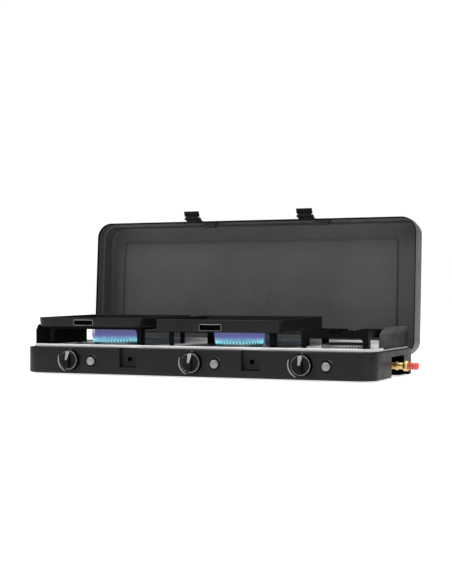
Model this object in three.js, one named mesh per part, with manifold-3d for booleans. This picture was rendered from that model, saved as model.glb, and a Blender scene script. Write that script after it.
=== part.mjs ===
// Three-burner camping stove with a hinged lid, shown open. Millimetres, +Z up, front towards -Y.
import * as THREE from "three";
import { mergeVertices } from "three/addons/utils/BufferGeometryUtils.js";
import Module from "manifold-3d";

const wasm = await Module();
wasm.setup();

// ---- driving dimensions (y from the front wall, z from the ground, moved to the part's frame in add) ----
const WIDTH = 750;
const DEPTH = 290;
const HALF = WIDTH / 2;
const PAN_BOTTOM = -2.5;
const PAN_TOP = 50.5;
const PAN_WALL = 1.8;
const PAN_CORNER = 36;
const LEDGE_FRONT = 12;
const LEDGE_SIDE = 5;
const SHIFT_Y = -145;
const SHIFT_Z = -PAN_BOTTOM;

const DECK = { x: 369.6, y0: 14, y1: 278, r: 31, under: 50.8, floor: 52.2, rim: 56.5, lip: 4, back: 63 };
const FOOT = { r: 11, high: 2.7, x: 320, y0: 64, y1: 256 };

const KNOB_X = [-263, 9, 236];
const KNOB_Z = 25;
const KNOB = { r: 19.8, back: -4.2, front: -13, grip: -19 };
const PUSH = 3;
const BUTTON_OFFSET = 48;
const BUTTON_Z = 23.5;
const BURNER_X = [-227, 55, 284];
const BURNER_Y = [128, 128, 108];
const BURNER_R = [46, 46, 43];
const SIDES = ["left", "center", "right"];

const LID = { half: 372.5, y0: 10, y1: 299, z0: 51, step: 77, top: 116, r: 33, inset: 4, wall: 1.6 };
const PANEL = { x0: -336, x1: 320, y0: 45, y1: 256, r: 12, groove: 6, rise: 2.4 };
const HINGE = { y: 285.5, z: 44, x: 240, pin: 2, barrel: 4, half: 7 };
const LID_OPEN = THREE.MathUtils.degToRad(93.7);
const LATCH_X = 131.5;
const LATCH = { y: 5.0, z: 43.5, half: 18, length: 17.4, rest: THREE.MathUtils.degToRad(61) };
const POCKET = { half: 19, depth: 9.6, z0: 12, hole: 4.8, holeZ: 28.5 };

const PLATES = [
  {
    name: "griddle_plate_left", x0: -358.6, x1: -115, r: 22,
    bottom: 90.4, front: 110, rear: 112.8, slot: [-268, -225, 95.6, 104.4],
  },
  {
    name: "griddle_plate_center", x0: -86, x1: 184, r: 16,
    bottom: 83.6, front: 108.2, rear: 112.4, slot: [15, 60, 87.8, 97.8],
  },
];
const PLATE = { y0: 22, y1: 276, floor: 90.4, wall: 3.4, plate: 3 };
const STANDS = [
  { x: -224, half: 106, y0: 32, y1: 236, band: 87 },
  { x: 56, half: 112, y0: 32, y1: 232, band: 87 },
  { x: 288, half: 66, y0: 34, y1: 168, band: 75.5, dip: 17 },
];
const STAND = { top: 90, foot: 52.5, t: 2.6, leg: 10, flange: 16, gusset: 3.5, dipLow: 83 };
const SHIELD = { x: 360.2, t: 1.2, foot: 52.5, fold: 81, top: 95, lean: 5.6, cut: 20 };
const SHIELDS = [
  { name: "wind_shield_left", side: -1, y0: 27, y1: 236 },
  { name: "wind_shield_right", side: 1, y0: 86, y1: 280 },
];
const INLET = { y: 162, z: 19 };

// ---- materials ----
function material(color, metalness, roughness) {
  return new THREE.MeshStandardMaterial({ color, metalness, roughness });
}

const BLACK_PAINT = material(0x2e2f31, 0.3, 0.6);
const LID_PAINT = material(0x45464a, 0.3, 0.6);
const CAST = material(0x262628, 0.3, 0.75);
const STEEL = material(0xc9cacc, 0.9, 0.3);
const ZINC = material(0x8f9296, 0.8, 0.45);
const ALLOY = material(0xa9abae, 0.8, 0.45);
const BRASS = material(0xb8923f, 0.9, 0.3);
const COPPER = material(0xb4643a, 0.9, 0.35);
const PLASTIC = material(0x121213, 0.0, 0.45);
const BUTTON_GREY = material(0x8c8d90, 0.4, 0.4);
const RUBBER = material(0x1b1b1b, 0.0, 0.9);
const RED_PLASTIC = material(0xd2302c, 0.0, 0.35);
const CERAMIC = material(0xe8e4da, 0.0, 0.4);
const WIRE = material(0x2a2a2c, 0.0, 0.6);

// ---- solid helpers ----
const stove = new THREE.Group();
stove.name = "camping_stove";

function solid(geometry) {
  geometry.deleteAttribute("normal");
  geometry.deleteAttribute("uv");
  const merged = mergeVertices(geometry, 1e-4);
  return new wasm.Manifold(
    new wasm.Mesh({
      numProp: 3,
      vertProperties: merged.attributes.position.array,
      triVerts: new Uint32Array(merged.index.array),
    }),
  );
}

function toGeometry(body) {
  const mesh = body.getMesh();
  const geometry = new THREE.BufferGeometry();
  geometry.setAttribute("position", new THREE.BufferAttribute(new Float32Array(mesh.vertProperties), 3));
  geometry.setIndex(new THREE.BufferAttribute(new Uint32Array(mesh.triVerts), 1));
  return geometry;
}

function add(name, body, mat, turn) {
  let geometry = toGeometry(body);
  if (turn) geometry.applyMatrix4(turn);
  geometry.translate(0, SHIFT_Y, SHIFT_Z);
  geometry = geometry.toNonIndexed();
  geometry.computeVertexNormals();
  const mesh = new THREE.Mesh(geometry, mat);
  mesh.name = name;
  stove.add(mesh);
  return mesh;
}

function union(bodies) {
  return bodies.reduce((all, body) => all.add(body));
}

function box(x0, x1, y0, y1, z0, z1) {
  const geometry = new THREE.BoxGeometry(x1 - x0, y1 - y0, z1 - z0);
  geometry.translate((x0 + x1) / 2, (y0 + y1) / 2, (z0 + z1) / 2);
  return solid(geometry);
}

function lathe(profile, segments = 32) {
  const points = profile.map(([r, h]) => new THREE.Vector2(r, h));
  const geometry = new THREE.LatheGeometry(points, segments);
  geometry.rotateX(Math.PI / 2);
  return solid(geometry);
}

function rod(axis, r, from, to, a, b, segments = 24) {
  let body = lathe([[0, from], [r, from], [r, to], [0, to]], segments);
  if (axis === "x") return body.rotate([0, 90, 0]).translate([0, a, b]);
  if (axis === "y") return body.rotate([-90, 0, 0]).translate([a, 0, b]);
  return body.translate([a, b, 0]);
}

function roundShape(x0, x1, y0, y1, r) {
  const shape = new THREE.Shape();
  shape.moveTo(x0 + r, y0);
  shape.lineTo(x1 - r, y0);
  shape.absarc(x1 - r, y0 + r, r, -Math.PI / 2, 0, false);
  shape.lineTo(x1, y1 - r);
  shape.absarc(x1 - r, y1 - r, r, 0, Math.PI / 2, false);
  shape.lineTo(x0 + r, y1);
  shape.absarc(x0 + r, y1 - r, r, Math.PI / 2, Math.PI, false);
  shape.lineTo(x0, y0 + r);
  shape.absarc(x0 + r, y0 + r, r, Math.PI, 1.5 * Math.PI, false);
  return shape;
}

function slab(x0, x1, y0, y1, r, z0, z1, curve = 6) {
  const geometry = new THREE.ExtrudeGeometry(roundShape(x0, x1, y0, y1, r), {
    depth: z1 - z0,
    bevelEnabled: false,
    curveSegments: curve,
  });
  geometry.translate(0, 0, z0);
  return solid(geometry);
}

function prismX(points, x0, x1) {
  const shape = new THREE.Shape(points.map(([y, z]) => new THREE.Vector2(y, z)));
  const geometry = new THREE.ExtrudeGeometry(shape, { depth: x1 - x0, bevelEnabled: false });
  geometry.rotateZ(Math.PI / 2);
  geometry.rotateY(Math.PI / 2);
  geometry.translate(x0, 0, 0);
  return solid(geometry);
}

function prismY(points, y0, y1) {
  const shape = new THREE.Shape(points.map(([x, z]) => new THREE.Vector2(x, z)));
  const geometry = new THREE.ExtrudeGeometry(shape, { depth: y1 - y0, bevelEnabled: false });
  geometry.rotateX(Math.PI / 2);
  geometry.translate(0, y1, 0);
  return solid(geometry);
}

function tube(points, r, steps, sides = 10) {
  const path = new THREE.CatmullRomCurve3(points.map((p) => new THREE.Vector3(...p)));
  const shape = new THREE.Shape();
  shape.absarc(0, 0, r, 0, 2 * Math.PI, false);
  const geometry = new THREE.ExtrudeGeometry(shape, {
    steps,
    curveSegments: sides,
    bevelEnabled: false,
    extrudePath: path,
  });
  return solid(geometry);
}

// ---- base ----
function outline(grow, z0, z1) {
  return slab(-HALF + grow, HALF - grow, grow, DEPTH - grow, PAN_CORNER - grow, z0, z1, 6);
}

function basePan() {
  let pan = outline(0, PAN_BOTTOM, PAN_TOP);
  pan = pan.subtract(outline(PAN_WALL, PAN_BOTTOM + PAN_WALL, PAN_TOP - PAN_WALL));
  const mouth = HALF - LEDGE_SIDE;
  pan = pan.subtract(slab(-mouth, mouth, LEDGE_FRONT, DEPTH - 10.5, 30, PAN_TOP - 3, PAN_TOP + 1));
  for (const side of [-1, 1]) {
    const x = side * LATCH_X;
    const wide = POCKET.half + PAN_WALL;
    const shell = box(x - wide, x + wide, 1, POCKET.depth + PAN_WALL, POCKET.z0 - PAN_WALL, 49.6);
    const hollow = box(x - POCKET.half, x + POCKET.half, -2, POCKET.depth, POCKET.z0, PAN_TOP + 1);
    pan = pan.add(shell).subtract(hollow);
    pan = pan.subtract(rod("y", POCKET.hole, 5, 15, x, POCKET.holeZ, 20));
    const hinge = side * HINGE.x;
    pan = pan.subtract(box(hinge - 11, hinge + 11, 277, DEPTH + 2, 35.5, PAN_TOP + 1));
  }
  for (const x of KNOB_X) {
    pan = pan.subtract(rod("y", 5, -2, 4, x, KNOB_Z, 20));
    pan = pan.subtract(rod("y", 9.8, -2, 4, x + BUTTON_OFFSET, BUTTON_Z, 24));
  }
  pan = pan.subtract(box(352, HALF + 2, 118, 207, PAN_BOTTOM - 1, 38));
  pan = pan.subtract(box(366, HALF + 2, 206, 246, PAN_BOTTOM - 1, 15));
  return pan;
}

function deckTray() {
  const d = DECK;
  let deck = slab(-d.x, d.x, d.y0, d.y1, d.r, d.under, d.rim, 5);
  const x = d.x - d.lip;
  deck = deck.subtract(slab(-x, x, d.y0 + d.lip, d.y1 - d.lip, d.r - d.lip, d.floor, d.rim + 1, 5));
  deck = deck.add(box(d.r - d.x, d.x - d.r, d.y1 - d.lip, d.y1, d.under, d.back));
  for (let i = 0; i < 3; i++) {
    deck = deck.subtract(rod("z", BURNER_R[i] - 7, 40, 60, BURNER_X[i], BURNER_Y[i], 24));
    const cx = BURNER_X[i];
    deck = deck.subtract(rod("z", 4.2, 40, 60, cx + BURNER_R[i] + 9, BURNER_Y[i], 12));
  }
  for (const s of SHIELDS) {
    const x = s.side * SHIELD.x;
    deck = deck.subtract(box(x - 12, x + 12, s.y0 - 3, s.y1 + 1, d.floor, 60));
    for (const y of [s.y0 + 30, s.y1 - 30]) {
      deck = deck.subtract(box(x - 1.1, x + 1.1, y - 9, y + 9, 50, 53));
    }
  }
  return deck;
}

function foot() {
  const { r, high } = FOOT;
  const profile = [[0, 0], [r - 1, 0], [r, 1], [r, high], [0, high]];
  return lathe(profile, 20).translate([0, 0, PAN_BOTTOM - high - 0.3]);
}

add("base_pan", basePan(), BLACK_PAINT);
add("deck_tray", deckTray(), STEEL);
for (const [row, y] of [["front", FOOT.y0], ["rear", FOOT.y1]]) {
  add(`foot_${row}_left`, foot().translate([-FOOT.x, y, 0]), RUBBER);
  add(`foot_${row}_right`, foot().translate([FOOT.x, y, 0]), RUBBER);
}

// ---- burners ----
function burnerBody(r) {
  const cup = lathe([
    [0, 24], [20, 24], [24, 34], [r - 12, 44], [r - 8, 49], [r - 8, 56.5],
    [r - 11, 56.5], [r - 11, 50], [18, 38], [0, 38],
  ], 24);
  const rim = lathe([[r - 9, 53.6], [r - 2, 53.6], [r - 2, 56.5], [r - 9, 56.5], [r - 9, 53.6]], 24);
  return cup.add(rim).subtract(rod("y", 5.4, -40, -12, 0, 31, 16));
}

function burnerCap(r) {
  let cap = lathe([
    [0, 59.5], [r - 7, 59.5], [r - 7, 56.8], [r, 56.8], [r, 61.5], [r - 3, 63.5], [r - 14, 64.2], [0, 64.2],
  ], 32);
  for (let i = 0; i < 16; i++) {
    const slot = box(r - 5.5, r + 2, -1.6, 1.6, 56, 60.6);
    cap = cap.subtract(slot.rotate([0, 0, (i + 0.5) * 22.5]));
  }
  return cap;
}

for (let i = 0; i < 3; i++) {
  const at = [BURNER_X[i], BURNER_Y[i], 0];
  add(`burner_body_${SIDES[i]}`, burnerBody(BURNER_R[i]).translate(at), ALLOY);
  add(`burner_cap_${SIDES[i]}`, burnerCap(BURNER_R[i]).translate(at), CAST);
}

// ---- controls: tap, spindle, knob, igniter ----
function tapBody(x) {
  const barrel = rod("y", 9, 4, 30, x, KNOB_Z, 20).subtract(rod("y", 3.9, 3, 16, x, KNOB_Z, 16));
  const block = box(x - 8, x + 8, 24, 44, KNOB_Z - 13, KNOB_Z + 8);
  return barrel.add(block);
}

function tapSpindle(x) {
  const shaft = rod("y", 3.3, KNOB.front + 4.5, 14, x, KNOB_Z, 16);
  return shaft.subtract(box(x - 5, x + 5, -16, 0, KNOB_Z + 1.8, KNOB_Z + 6));
}

function knob(x) {
  const k = KNOB;
  const dial = lathe([
    [0, k.back], [k.r, k.back], [k.r, k.back - 2.2], [k.r - 1.6, k.back - 4],
    [k.r - 2.6, k.front + 1], [k.r - 3.6, k.front], [0, k.front],
  ].reverse(), 28).rotate([-90, 0, 0]).translate([x, 0, KNOB_Z]);
  const right = [[4, -17], [5.4, 0], [5.6, 16], [3, 18.4]];
  const left = right.map(([a, b]) => [-a, b]).reverse();
  const outline = [...right, ...left].map(([a, b]) => [x + a, KNOB_Z + b]);
  const slope = prismX([
    [k.grip - 1, KNOB_Z + 1], [k.grip, KNOB_Z + 1],
    [k.front - 0.6, KNOB_Z + 19.5], [k.grip - 1, KNOB_Z + 19.5],
  ], x - 8, x + 8);
  const grip = prismY(outline, k.grip, k.front + 2).subtract(slope);
  const round = rod("y", 3.6, k.front + 1, 0, x, KNOB_Z, 20);
  const flat = box(x - 5, x + 5, k.front, 1, KNOB_Z + 2.1, KNOB_Z + 6);
  return dial.add(grip).subtract(round.subtract(flat));
}

function igniterBody(x) {
  const collar = rod("y", 12, -1.4, -0.3, x, BUTTON_Z, 20);
  const barrel = rod("y", 9.4, -0.6, 40, x, BUTTON_Z, 20);
  const mouth = rod("y", 8.7, -3, 9, x, BUTTON_Z, 20);
  const bore = rod("y", 5.3, 8, 22, x, BUTTON_Z, 16);
  return collar.add(barrel).subtract(mouth).subtract(bore);
}

function igniterButton(x) {
  const dome = [[0, -7.2], [4.8, -6.6], [7.2, -5.4], [8.3, -3.6], [8.3, 5], [0, 5]];
  const head = lathe(dome, 20).rotate([-90, 0, 0]).translate([x, 0, BUTTON_Z]);
  return head.add(rod("y", 4.8, 4, 17, x, BUTTON_Z, 16));
}

for (let i = 0; i < 3; i++) {
  const x = KNOB_X[i];
  add(`tap_body_${SIDES[i]}`, tapBody(x), BRASS);
  add(`tap_spindle_${SIDES[i]}`, tapSpindle(x), ZINC);
  add(`knob_${SIDES[i]}`, knob(x), PLASTIC);
  add(`igniter_body_${SIDES[i]}`, igniterBody(x + BUTTON_OFFSET), PLASTIC);
  add(`igniter_button_${SIDES[i]}`, igniterButton(x + BUTTON_OFFSET), BUTTON_GREY);
}

// ---- electrodes, leads and gas pipes ----
function electrode(x, y) {
  const ceramic = lathe([
    [0, 36], [2.2, 36], [3.6, 40], [3.6, 56], [1.8, 60], [0.9, 60.5], [0.9, 66], [0, 66],
  ], 14);
  return ceramic.translate([x, y, 0]);
}

function igniterLead(i) {
  const x0 = KNOB_X[i] + BUTTON_OFFSET;
  const x1 = BURNER_X[i] + BURNER_R[i] + 9;
  const y1 = BURNER_Y[i];
  const points = [
    [x0, 40.4, BUTTON_Z], [x0, 50, 26], [x0, 64, 26], [(x0 + x1) / 2, 82, 16],
    [x1, y1 - 14, 12], [x1, y1 - 3, 20], [x1, y1, 35.6],
  ];
  return tube(points, 1.3, 14, 3);
}

function feedPipe(i) {
  const x0 = KNOB_X[i];
  const x1 = BURNER_X[i];
  const y1 = BURNER_Y[i] - 21;
  const middle = [(x0 + x1) / 2, (50 + y1) / 2 + 4, 30];
  return tube([[x0, 44.4, 27], [x0, 56, 28], middle, [x1, y1 - 12, 31], [x1, y1, 31]], 3.4, 10, 4);
}

function gasRail() {
  let rail = rod("x", 5, -278, 346, 58, 15, 16);
  for (const x of KNOB_X) rail = rail.add(rod("y", 4, 44.4, 58, x, 15.8, 12));
  return rail;
}

function inletPipe() {
  const bend = [[347.6, 58, 15], [354, 59.4, 15], [360.5, 72, 14.5]];
  const run = [[362, 100, 14], [363, 130, 15], [364.5, 148, 18], [365, 155.2, 19]];
  return tube([...bend, ...run], 4, 12, 5);
}

for (let i = 0; i < 3; i++) {
  add(`electrode_${SIDES[i]}`, electrode(BURNER_X[i] + BURNER_R[i] + 9, BURNER_Y[i]), CERAMIC);
  add(`igniter_lead_${SIDES[i]}`, igniterLead(i), WIRE);
  add(`burner_feed_pipe_${SIDES[i]}`, feedPipe(i), ZINC);
}
add("gas_rail", gasRail(), ZINC);
add("inlet_pipe", inletPipe(), COPPER);

// ---- gas inlet ----
function inletFitting() {
  const { y, z } = INLET;
  const elbow = rod("x", 6.5, 357.5, 386, y, z, 20);
  const flange = rod("x", 8.2, 371, 375, y, z, 20);
  const stub = rod("x", 5.4, 385, 406, y, z, 20);
  return union([elbow, flange, stub]).subtract(rod("x", 3.2, 392, 408, y, z, 16));
}

function inletNut() {
  const { y, z } = INLET;
  const hex = lathe([[0, 386.3], [9.2, 386.3], [9.8, 387.4], [9.8, 394.6], [9.2, 395.7], [0, 395.7]], 6);
  return hex.rotate([0, 90, 0]).translate([0, y, z]).subtract(rod("x", 5.7, 380, 400, y, z, 20));
}

function dustCap() {
  return lathe([[0, 406.6], [5.8, 406.6], [5.8, 396.2], [7.6, 396.2], [7.6, 416], [6, 418], [0, 418]], 24)
    .rotate([0, 90, 0])
    .translate([0, INLET.y, INLET.z]);
}

add("inlet_fitting", inletFitting(), BRASS);
add("inlet_nut", inletNut(), BRASS);
add("dust_cap", dustCap(), RED_PLASTIC);

// ---- pot stands, griddle plates and wind shields ----
function span(a, b) {
  return [Math.min(a, b), Math.max(a, b)];
}

function standLeg(s, x, side, rear) {
  const { t, leg, flange, foot, gusset, top } = STAND;
  const y = rear ? s.y1 : s.y0;
  const inward = rear ? -1 : 1;
  const wide = leg + gusset;
  const outline = [[0, foot], [leg, foot], [leg, s.band - 7], [wide, s.band], [wide, top], [0, top]];
  const front = prismY(outline.map(([a, z]) => [x - side * a, z]), ...span(y, y + inward * t));
  return front.add(box(...span(x, x - side * t), ...span(y, y + inward * flange), foot, top));
}

function standDip(s) {
  const slant = 6;
  return prismY([
    [s.x - s.dip, STAND.top + 1], [s.x - s.dip + slant, STAND.dipLow],
    [s.x + s.dip - slant, STAND.dipLow], [s.x + s.dip, STAND.top + 1],
  ], 0, DEPTH);
}

function standFingers(s) {
  const t = STAND.t / 2;
  const cy = (s.y0 + s.y1) / 2;
  const low = Math.max(s.band, 82);
  const aside = Math.min(34, s.half * 0.26) + 6;
  const bars = [];
  for (const side of [-1, 1]) {
    bars.push(box(...span(s.x + side * (s.half - t), s.x + side * 22), cy - t, cy + t, low, STAND.top));
    const start = side < 0 ? s.y0 + t : s.y1 - t;
    for (const x of [s.x - aside, s.x + aside]) {
      bars.push(box(x - t, x + t, ...span(start, cy + side * 24), low, STAND.top));
    }
  }
  return union(bars);
}

function potStand(s) {
  const t = STAND.t;
  const x0 = s.x - s.half;
  const x1 = s.x + s.half;
  let frame = box(x0, x1, s.y0, s.y1, s.band, STAND.top);
  frame = frame.subtract(box(x0 + t, x1 - t, s.y0 + t, s.y1 - t, s.band - 1, STAND.top + 1));
  if (s.dip) frame = frame.subtract(standDip(s));
  for (const rear of [false, true]) {
    frame = frame.add(standLeg(s, x0, -1, rear)).add(standLeg(s, x1, 1, rear));
  }
  return frame.add(standFingers(s));
}

function rimCut(front, rear) {
  const { y0, y1 } = PLATE;
  return prismX([[y0 - 5, front], [y1 + 5, rear], [y1 + 5, rear + 20], [y0 - 5, rear + 20]], -HALF, HALF);
}

function griddlePlate(p) {
  const w = PLATE.wall;
  let body = slab(p.x0, p.x1, PLATE.y0, PLATE.y1, p.r, p.bottom, p.rear + 2, 4);
  const inner = (z0, z1) => slab(p.x0 + w, p.x1 - w, PLATE.y0 + w, PLATE.y1 - w, p.r - w, z0, z1, 4);
  body = body.subtract(inner(PLATE.floor + PLATE.plate, p.rear + 3)).subtract(rimCut(p.front, p.rear));
  if (p.bottom < PLATE.floor) body = body.subtract(inner(p.bottom - 1, PLATE.floor));
  const [sx0, sx1, sz0, sz1] = p.slot;
  return body.subtract(box(sx0, sx1, PLATE.y0 - 1, PLATE.y0 + w + 0.4, sz0, sz1));
}

function windShield(s) {
  const t = SHIELD.t / 2;
  const x = SHIELD.x;
  const profile = [
    [x - t, SHIELD.foot], [x + t, SHIELD.foot], [x + t, SHIELD.fold], [x + t + SHIELD.lean, SHIELD.top],
    [x - t + SHIELD.lean, SHIELD.top], [x - t, SHIELD.fold],
  ];
  let panel = prismY(profile, s.y0, s.y1);
  for (const y of [s.y0 + 30, s.y1 - 30]) {
    panel = panel.add(box(x - t, x + t, y - 8, y + 8, 46, SHIELD.foot + 1));
  }
  const past = SHIELD.top + 2;
  const slope = [[0, SHIELD.fold + 1], [SHIELD.cut, past], [0, past]];
  for (const [y, turn] of [[s.y0, 1], [s.y1, -1]]) {
    const corner = slope.map(([a, z]) => [y + turn * (a - 0.2), z]);
    panel = panel.subtract(prismX(corner, x - 5, x + 20));
  }
  return s.side > 0 ? panel : panel.mirror([1, 0, 0]);
}

STANDS.forEach((s, i) => add(`pot_stand_${SIDES[i]}`, potStand(s), CAST));
for (const p of PLATES) add(p.name, griddlePlate(p), CAST);
for (const s of SHIELDS) add(s.name, windShield(s), BLACK_PAINT);

// ---- lid, hinges and latches, drawn closed and then swung open ----
function swing() {
  const away = new THREE.Matrix4().makeTranslation(0, -HINGE.y, -HINGE.z);
  const turn = new THREE.Matrix4().makeRotationX(-LID_OPEN);
  const back = new THREE.Matrix4().makeTranslation(0, HINGE.y, HINGE.z);
  return back.multiply(turn).multiply(away);
}

function lidLayer(grow, z0, z1) {
  const x = LID.half - grow;
  return slab(-x, x, LID.y0 + grow, LID.y1 - grow, LID.r - grow, z0, z1, 6);
}

function lidShell() {
  const inner = LID.inset + LID.wall;
  let lid = lidLayer(0, LID.z0, LID.step).add(lidLayer(LID.inset, LID.step - 1, LID.top));
  lid = lid.subtract(lidLayer(LID.wall, LID.z0 - 1, LID.step - LID.wall));
  lid = lid.subtract(lidLayer(inner, LID.step - 3, LID.top - LID.wall - 0.8));
  const p = PANEL;
  const layer = (g) => slab(p.x0 + g, p.x1 - g, p.y0 + g, p.y1 - g, p.r - g, LID.top - 4, LID.top - 1.3, 2);
  return lid.subtract(layer(0).subtract(layer(p.groove)));
}

function hingeLeaf(x) {
  const { y, z, barrel, half, pin } = HINGE;
  const roll = rod("x", barrel, x - half, x + half, y, z, 20);
  const strap = box(x - half, x + half, y + barrel - 2, y + barrel, z, 73);
  return roll.add(strap).subtract(rod("x", pin + 0.3, x - 20, x + 20, y, z, 20));
}

function hingePost(x) {
  const { y, z, half, pin } = HINGE;
  const column = box(x - 9.8, x + 9.8, 276.5, 287.5, PAN_BOTTOM + PAN_WALL + 0.3, 38);
  const ear = prismX([
    [y - 5, 37], [y + 2, 37], [y + 3.4, z + 1], [y + 2, z + 4.6], [y - 3, z + 4.6], [y - 5, z],
  ], 0, 2);
  const ears = ear.translate([x - half - 2.6, 0, 0]).add(ear.translate([x + half + 0.6, 0, 0]));
  return column.add(ears).subtract(rod("x", pin + 0.15, x - 20, x + 20, y, z, 20));
}

function hingePin(x) {
  const { y, z, half, pin } = HINGE;
  return rod("x", pin, x - half - 2.5, x + half + 2.5, y, z, 20);
}

function latchBracket(x) {
  const { y, z, half } = LATCH;
  const plate = box(x - half, x + half, 8.6, 9.6, z + 8, z + 24);
  const ear = prismX([
    [9, z + 8], [9, z + 13], [y - 2, z + 3.4], [y - 3.2, z],
    [y - 2, z - 3.2], [y + 2, z - 3.2], [y + 2.8, z + 1],
  ], 0, 3);
  const ears = ear.translate([x - half, 0, 0]).add(ear.translate([x + half - 3, 0, 0]));
  const bridge = box(x - half, x + half, 7.6, 9.2, z + 4, z + 9);
  return plate.add(bridge).add(ears).add(rod("x", 1.6, x - half + 1, x + half - 1, y, z, 12));
}

function latch(x) {
  const { y, z, half, length } = LATCH;
  const w = half - 3.4;
  const hub = rod("x", 3, x - w, x + w, y, z, 16);
  const lever = box(x - w, x + w, y - 1.4, y + 1.4, z - 6, z - 1);
  const grip = box(x - half, x + half, y - 1.6, y + 1.2, z - length, z - 4.4);
  const nose = rod("y", 2.4, y + 1, y + 5.6, x, POCKET.holeZ, 16);
  let body = union([hub, lever, grip, nose]);
  for (const dx of [-13, -6.5, 6.5, 13]) {
    body = body.add(box(x + dx - 1, x + dx + 1, y + 0.5, y + 2.6, z - length + 1.5, z - 6));
  }
  body = body.subtract(rod("x", 1.9, x - 30, x + 30, y, z, 16));
  const tilt = -THREE.MathUtils.radToDeg(LATCH.rest);
  return body.translate([0, -y, -z]).rotate([tilt, 0, 0]).translate([0, y, z]);
}

add("lid_shell", lidShell(), LID_PAINT, swing());
for (const [name, side] of [["left", -1], ["right", 1]]) {
  add(`hinge_leaf_${name}`, hingeLeaf(side * HINGE.x), ZINC, swing());
  add(`hinge_pin_${name}`, hingePin(side * HINGE.x), ZINC);
  add(`hinge_post_${name}`, hingePost(side * HINGE.x), ZINC);
  add(`latch_bracket_${name}`, latchBracket(side * LATCH_X), PLASTIC, swing());
  add(`latch_${name}`, latch(side * LATCH_X), PLASTIC, swing());
}

export default stove;
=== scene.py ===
"""Looks of a three-burner camping stove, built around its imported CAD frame.

Sizes are in stove millimetres: x to the right, y back from the front wall, z up from the ground.
"""
import math

import bmesh
import bpy
from mathutils import Matrix, Vector


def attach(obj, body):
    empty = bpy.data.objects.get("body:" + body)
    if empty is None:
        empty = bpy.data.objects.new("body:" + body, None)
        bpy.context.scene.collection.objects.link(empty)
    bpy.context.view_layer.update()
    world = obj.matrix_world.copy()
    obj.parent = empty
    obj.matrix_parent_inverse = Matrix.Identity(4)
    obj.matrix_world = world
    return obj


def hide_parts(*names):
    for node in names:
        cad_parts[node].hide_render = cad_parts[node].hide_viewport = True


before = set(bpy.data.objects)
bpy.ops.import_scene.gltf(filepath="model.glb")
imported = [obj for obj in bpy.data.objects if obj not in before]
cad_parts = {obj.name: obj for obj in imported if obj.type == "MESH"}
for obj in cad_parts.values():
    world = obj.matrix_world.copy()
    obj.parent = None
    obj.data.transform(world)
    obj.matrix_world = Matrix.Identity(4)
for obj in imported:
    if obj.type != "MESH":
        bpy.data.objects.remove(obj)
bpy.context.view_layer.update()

# ---- frame and sizes ----
MM = 0.001
SHIFT = Vector((0.0, -145.0, 2.5))
HALF = 375.0
BOTTOM = -2.5
LID_HALF = 372.5
DEPTH = 290.0
HINGE = Vector((0.0, 285.5, 44.0))
OPEN_ANGLE = math.radians(93.7)
SIDES = ("left", "center", "right")
KNOB_X = (-263.0, 9.0, 236.0)
KNOB_Z = 25.0
BUTTON_OFFSET = 48.0
BUTTON_Z = 23.5
BURNERS = ((-227.0, 128.0, 46.0), (55.0, 128.0, 46.0), (284.0, 108.0, 43.0))
LATCH_X = 131.5
SHIELD_X = 360.2
SHIELDS = (("left", -1, 27, 236), ("right", 1, 86, 280))
INLET_Y, INLET_Z = 162.0, 19.0
CAMERA_AT = Vector((1061.0, -2241.25, 160.34))
CAMERA_YAW, CAMERA_PITCH = 0.4121, 0.0008
LENS = 78.59897

FORWARD = Matrix.Rotation(math.pi / 2, 4, "X")
TO_FRAME = Matrix.Scale(MM, 4) @ Matrix.Translation(SHIFT)
SWING = Matrix.Translation(HINGE) @ Matrix.Rotation(-OPEN_ANGLE, 4, "X") @ Matrix.Translation(-HINGE)


# ---- mesh helpers ----
class Shape:
    """Vertices and faces of one piece, in stove millimetres."""

    def __init__(self):
        self.verts = []
        self.faces = []
        self.slots = []

    def add(self, verts, faces, slot=0):
        start = len(self.verts)
        self.verts += [Vector(v) for v in verts]
        self.faces += [[start + i for i in f] for f in faces]
        self.slots += [slot] * len(faces)
        return self

    def join(self, other, slot=None):
        start = len(self.verts)
        self.verts += [v.copy() for v in other.verts]
        self.faces += [[start + i for i in f] for f in other.faces]
        self.slots += other.slots if slot is None else [slot] * len(other.faces)
        return self

    def moved(self, matrix):
        self.verts = [matrix @ v for v in self.verts]
        return self


def rounded(points, steps=5):
    """A polyline of (a, b, radius) corners with each corner turned into an arc."""
    out = []
    last = len(points) - 1
    for i, (a, b, r) in enumerate(points):
        here = Vector((a, b))
        if r <= 0 or i in (0, last):
            out.append((a, b))
            continue
        before = Vector(points[i - 1][:2]) - here
        after = Vector(points[i + 1][:2]) - here
        angle = before.angle(after, math.pi) if min(before.length, after.length) >= 1e-6 else math.pi
        if angle > math.pi - 1e-3:
            out.append((a, b))
            continue
        reach = min(r / math.tan(angle / 2), before.length * 0.49, after.length * 0.49)
        radius = reach * math.tan(angle / 2)
        u, v = before.normalized(), after.normalized()
        centre = here + (u + v).normalized() * (radius / math.sin(angle / 2))
        p, q = here + u * reach - centre, here + v * reach - centre
        turn = p.angle_signed(q)
        for k in range(steps + 1):
            t = -turn * k / steps
            c, s = math.cos(t), math.sin(t)
            out.append((centre.x + p.x * c - p.y * s, centre.y + p.x * s + p.y * c))
    return out


def closed_round(points, steps=4):
    """Like rounded, for a closed outline."""
    wrapped = [points[-1]] + list(points) + [points[0]]
    loop = rounded(wrapped, steps)
    return loop[1:-1]


def ring(rect, r, z, n=10):
    x0, x1, y0, y1 = rect
    r = max(r, 0.3)
    corners = ((x1 - r, y0 + r, -90), (x1 - r, y1 - r, 0), (x0 + r, y1 - r, 90), (x0 + r, y0 + r, 180))
    out = []
    for cx, cy, start in corners:
        for k in range(n + 1):
            t = math.radians(start + 90 * k / n)
            out.append((cx + r * math.cos(t), cy + r * math.sin(t), z))
    return out


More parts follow.
